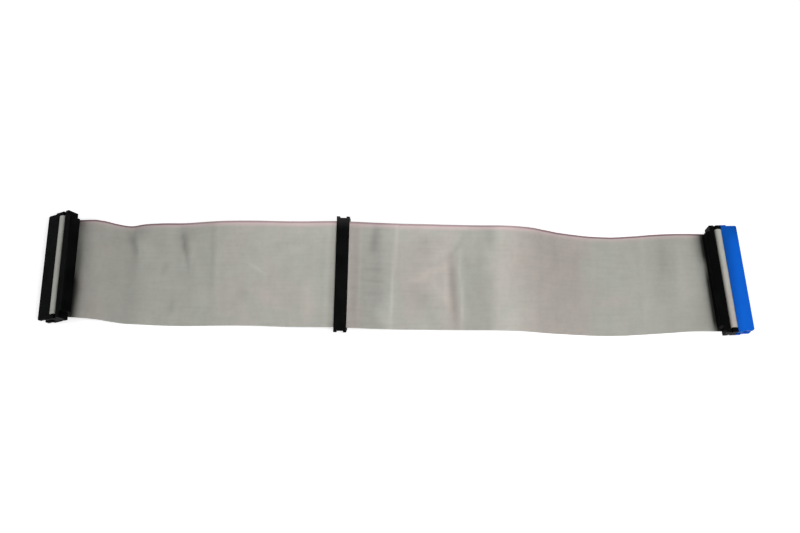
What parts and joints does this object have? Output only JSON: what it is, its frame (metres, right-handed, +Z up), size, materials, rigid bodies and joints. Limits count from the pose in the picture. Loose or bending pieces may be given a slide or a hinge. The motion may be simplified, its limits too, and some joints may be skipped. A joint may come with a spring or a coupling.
{
  "type": "ribbon cable",
  "caption": "Flat grey ribbon cable with a coloured edge stripe, for linking drives to a host board, with long keyed sockets pressed on at its ends and part-way along.",
  "frame": {"origin": "on the surface that the cable lies on, below the middle of the box around the sockets", "axes": "+X along the cable towards the host socket, +Y towards the marked edge of the ribbon, +Z up from the surface"},
  "size_m": [0.3461, 0.0601, 0.0274],
  "materials": {
    "ribbon": "soft grey insulation, finely ribbed, with a pale red stripe along the +Y edge",
    "socket_black": "satin",
    "host_blue": "satin",
    "contacts": "thin gold over a stamped copper alloy",
    "ground_bars": "tinned copper alloy"
  },
  "bodies": {
    "root": {"ribbon": "ribbon", "end_housing": "socket_black", "end_cover": "socket_black", "end_clamp": "socket_black", "end_contacts_a": "contacts", "end_contacts_b": "contacts", "end_ground_bar": "ground_bars", "middle_housing": "socket_black", "middle_cover": "socket_black", "middle_contacts_a": "contacts", "middle_contacts_b": "contacts", "middle_ground_bar": "ground_bars", "host_housing": "host_blue", "host_cover": "socket_black", "host_clamp": "socket_black", "host_contacts_a": "contacts", "host_contacts_b": "contacts", "host_ground_bar": "ground_bars"}
  },
  "joints": []
}
